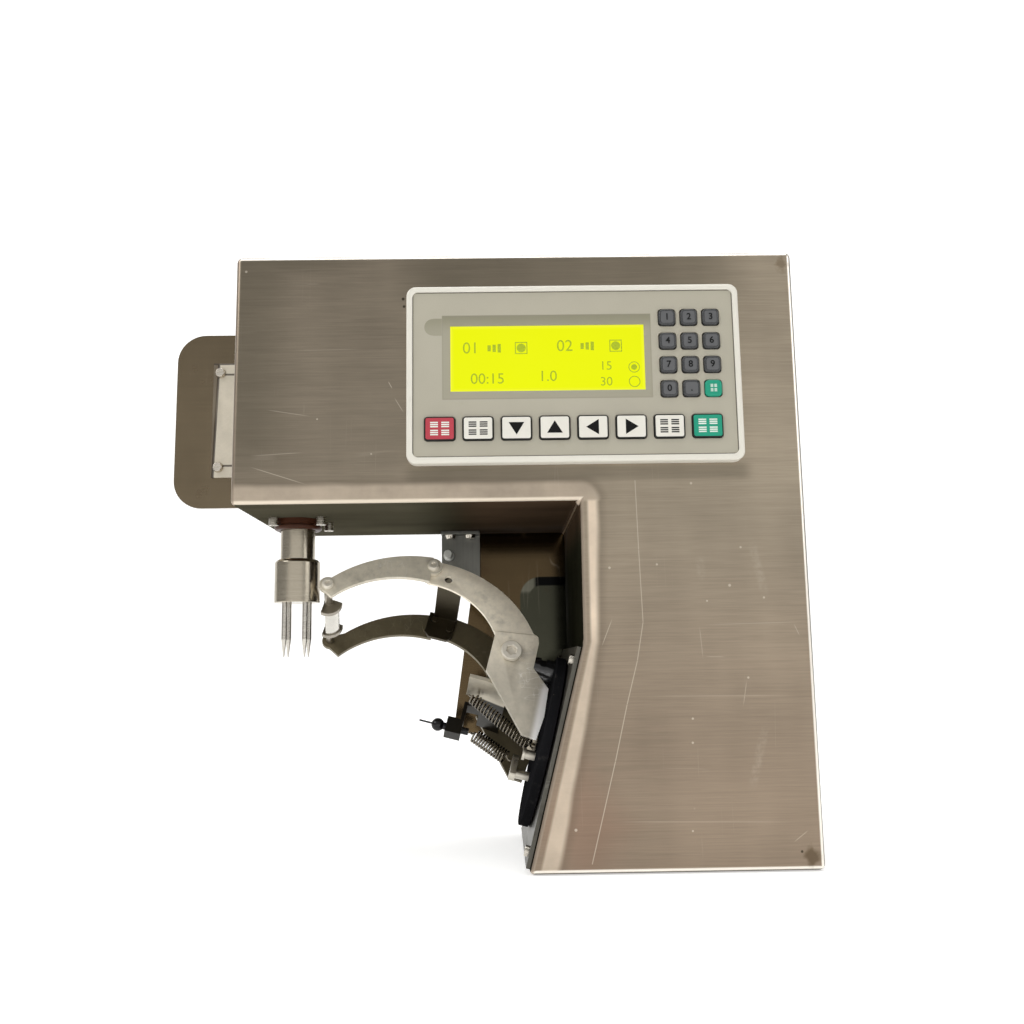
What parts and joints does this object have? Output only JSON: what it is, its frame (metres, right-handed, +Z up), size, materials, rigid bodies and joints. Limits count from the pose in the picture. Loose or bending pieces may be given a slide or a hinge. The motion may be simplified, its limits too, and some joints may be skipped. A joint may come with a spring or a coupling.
{
  "type": "fruit peeling machine",
  "caption": "Bench fruit peeler: folded steel housing with display and keys, turning fruit fork under the head, motor-swung sprung arms carrying the blade.",
  "frame": {"origin": "middle of the column's foot, on the bench", "axes": "+X to the right as seen from the display side, +Y from the display towards the back plate, +Z up"},
  "size_m": [0.3645, 0.1466, 0.317],
  "materials": {
    "shell_steel": "brushed along its width, with wear and scratches",
    "back_steel": "brushed, warm reflections",
    "strip_steel": "matt off-white",
    "fastener_steel": "bright turned heads",
    "frame_plastic": "fine matt",
    "overlay_film": "printed matt film",
    "lcd_screen": "lit yellow-green",
    "box_plastic": "moulded",
    "key_grey": "domed, printed",
    "key_green": "domed",
    "key_white": "domed, printed",
    "key_red": "domed",
    "cast_housing": "as cast, machined faces",
    "bearing_steel": "ground",
    "seal_rubber": "brown, satin",
    "gear_alloy": "satin",
    "motor_paint": "black satin",
    "spindle_steel": "turned",
    "fork_steel": "polished",
    "plate_steel": "ground grey",
    "black_oxide": "black oxide, oiled",
    "pin_steel": "turned",
    "arm_steel": "satin, scratched",
    "rear_arm_steel": "satin",
    "dark_steel": "dull",
    "brace_steel": "satin",
    "carriage_steel": "satin",
    "blade_steel": "honed",
    "spring_steel": "drawn wire",
    "sensor_plastic": "white cap",
    "supply_alloy": "perforated case",
    "gland_plastic": "black"
  },
  "bodies": {
    "frame": {"front_shell": "shell_steel", "back_plate": "back_steel", "cover_screws": "fastener_steel", "clamp_strip": "strip_steel", "display_frame": "frame_plastic", "display_overlay": "overlay_film", "lcd_module": "lcd_screen", "display_box": "box_plastic", "bearing_housing": "cast_housing", "spindle_bearings": "bearing_steel", "shaft_seal": "seal_rubber", "frame_bolts": "fastener_steel", "spindle_gearbox": "gear_alloy", "spindle_motor": "motor_paint", "swing_plate": "plate_steel", "swing_gearbox": "cast_housing", "swing_motor": "motor_paint", "sensor_bracket": "plate_steel", "home_sensor": "sensor_plastic", "power_supply": "supply_alloy", "cable_gland": "gland_plastic"},
    "spindle": {"spindle_shaft": "spindle_steel", "chuck": "spindle_steel", "fruit_fork": "fork_steel"},
    "swing": {"swing_shaft": "spindle_steel", "swing_disc": "black_oxide", "arm_posts": "black_oxide", "pivot_pin": "pin_steel", "spring_anchors": "pin_steel"},
    "arm": {"front_arm": "arm_steel", "rear_arm": "rear_arm_steel", "tip_arms": "arm_steel", "cross_plate": "dark_steel", "arm_brace": "brace_steel", "arm_screws": "fastener_steel", "upper_spring": "spring_steel", "lower_spring": "spring_steel"},
    "adjuster": {"spring_adjuster": "black_oxide"},
    "blade_carriage": {"blade_holder": "carriage_steel", "blade": "blade_steel"},
    "key_1": {"key_1": "key_grey"},
    "key_2": {"key_2": "key_grey"},
    "key_3": {"key_3": "key_grey"},
    "key_4": {"key_4": "key_grey"},
    "key_5": {"key_5": "key_grey"},
    "key_6": {"key_6": "key_grey"},
    "key_7": {"key_7": "key_grey"},
    "key_8": {"key_8": "key_grey"},
    "key_9": {"key_9": "key_grey"},
    "key_0": {"key_0": "key_grey"},
    "key_dot": {"key_dot": "key_grey"},
    "key_enter": {"key_enter": "key_green"},
    "key_stop": {"key_stop": "key_red"},
    "key_menu": {"key_menu": "key_white"},
    "key_down": {"key_down": "key_white"},
    "key_up": {"key_up": "key_white"},
    "key_left": {"key_left": "key_white"},
    "key_right": {"key_right": "key_white"},
    "key_set": {"key_set": "key_white"},
    "key_start": {"key_start": "key_green"}
  },
  "joints": [
    {"name": "spindle_spin", "type": "hinge", "parent": "frame", "child": "spindle", "pos_m": [-0.1982, -0.006, 0.15], "axis": [0, 0, 1], "continuous": true},
    {"name": "arm_swing", "type": "hinge", "parent": "frame", "child": "swing", "pos_m": [-0.05738, -0.006, 0.0584], "axis": [-0.9681, 0, 0.2507], "range_deg": [-145, 0]},
    {"name": "arm_pivot", "type": "hinge", "parent": "swing", "child": "arm", "pos_m": [-0.08276, 0.00937, 0.09361], "axis": [-0.1215, 0.8746, -0.4693], "range_deg": [0, 10], "stiffness_Nm_per_rad": 2, "springref_deg": -20.05, "deforming": ["upper_spring", "lower_spring"]},
    {"name": "blade_tilt", "type": "hinge", "parent": "arm", "child": "blade_carriage", "pos_m": [-0.18393, 0.01557, 0.13137], "axis": [-0.1215, 0.8746, -0.4693], "range_deg": [-8, 8]},
    {"name": "adjuster_turn", "type": "hinge", "parent": "arm", "child": "adjuster", "pos_m": [-0.11206, 0.00226, 0.06665], "axis": [-0.9681, 0, 0.2507], "range_deg": [-180, 180]},
    {"name": "key_1_press", "type": "slide", "parent": "frame", "child": "key_1", "axis": [0, 1, 0], "range_m": [0, 0.001], "stiffness_N_per_m": 400, "springref_m": -0.001},
    {"name": "key_2_press", "type": "slide", "parent": "frame", "child": "key_2", "axis": [0, 1, 0], "range_m": [0, 0.001], "stiffness_N_per_m": 400, "springref_m": -0.001},
    {"name": "key_3_press", "type": "slide", "parent": "frame", "child": "key_3", "axis": [0, 1, 0], "range_m": [0, 0.001], "stiffness_N_per_m": 400, "springref_m": -0.001},
    {"name": "key_4_press", "type": "slide", "parent": "frame", "child": "key_4", "axis": [0, 1, 0], "range_m": [0, 0.001], "stiffness_N_per_m": 400, "springref_m": -0.001},
    {"name": "key_5_press", "type": "slide", "parent": "frame", "child": "key_5", "axis": [0, 1, 0], "range_m": [0, 0.001], "stiffness_N_per_m": 400, "springref_m": -0.001},
    {"name": "key_6_press", "type": "slide", "parent": "frame", "child": "key_6", "axis": [0, 1, 0], "range_m": [0, 0.001], "stiffness_N_per_m": 400, "springref_m": -0.001},
    {"name": "key_7_press", "type": "slide", "parent": "frame", "child": "key_7", "axis": [0, 1, 0], "range_m": [0, 0.001], "stiffness_N_per_m": 400, "springref_m": -0.001},
    {"name": "key_8_press", "type": "slide", "parent": "frame", "child": "key_8", "axis": [0, 1, 0], "range_m": [0, 0.001], "stiffness_N_per_m": 400, "springref_m": -0.001},
    {"name": "key_9_press", "type": "slide", "parent": "frame", "child": "key_9", "axis": [0, 1, 0], "range_m": [0, 0.001], "stiffness_N_per_m": 400, "springref_m": -0.001},
    {"name": "key_0_press", "type": "slide", "parent": "frame", "child": "key_0", "axis": [0, 1, 0], "range_m": [0, 0.001], "stiffness_N_per_m": 400, "springref_m": -0.001},
    {"name": "key_dot_press", "type": "slide", "parent": "frame", "child": "key_dot", "axis": [0, 1, 0], "range_m": [0, 0.001], "stiffness_N_per_m": 400, "springref_m": -0.001},
    {"name": "key_enter_press", "type": "slide", "parent": "frame", "child": "key_enter", "axis": [0, 1, 0], "range_m": [0, 0.001], "stiffness_N_per_m": 400, "springref_m": -0.001},
    {"name": "key_stop_press", "type": "slide", "parent": "frame", "child": "key_stop", "axis": [0, 1, 0], "range_m": [0, 0.001], "stiffness_N_per_m": 400, "springref_m": -0.001},
    {"name": "key_menu_press", "type": "slide", "parent": "frame", "child": "key_menu", "axis": [0, 1, 0], "range_m": [0, 0.001], "stiffness_N_per_m": 400, "springref_m": -0.001},
    {"name": "key_down_press", "type": "slide", "parent": "frame", "child": "key_down", "axis": [0, 1, 0], "range_m": [0, 0.001], "stiffness_N_per_m": 400, "springref_m": -0.001},
    {"name": "key_up_press", "type": "slide", "parent": "frame", "child": "key_up", "axis": [0, 1, 0], "range_m": [0, 0.001], "stiffness_N_per_m": 400, "springref_m": -0.001},
    {"name": "key_left_press", "type": "slide", "parent": "frame", "child": "key_left", "axis": [0, 1, 0], "range_m": [0, 0.001], "stiffness_N_per_m": 400, "springref_m": -0.001},
    {"name": "key_right_press", "type": "slide", "parent": "frame", "child": "key_right", "axis": [0, 1, 0], "range_m": [0, 0.001], "stiffness_N_per_m": 400, "springref_m": -0.001},
    {"name": "key_set_press", "type": "slide", "parent": "frame", "child": "key_set", "axis": [0, 1, 0], "range_m": [0, 0.001], "stiffness_N_per_m": 400, "springref_m": -0.001},
    {"name": "key_start_press", "type": "slide", "parent": "frame", "child": "key_start", "axis": [0, 1, 0], "range_m": [0, 0.001], "stiffness_N_per_m": 400, "springref_m": -0.001}
  ]
}
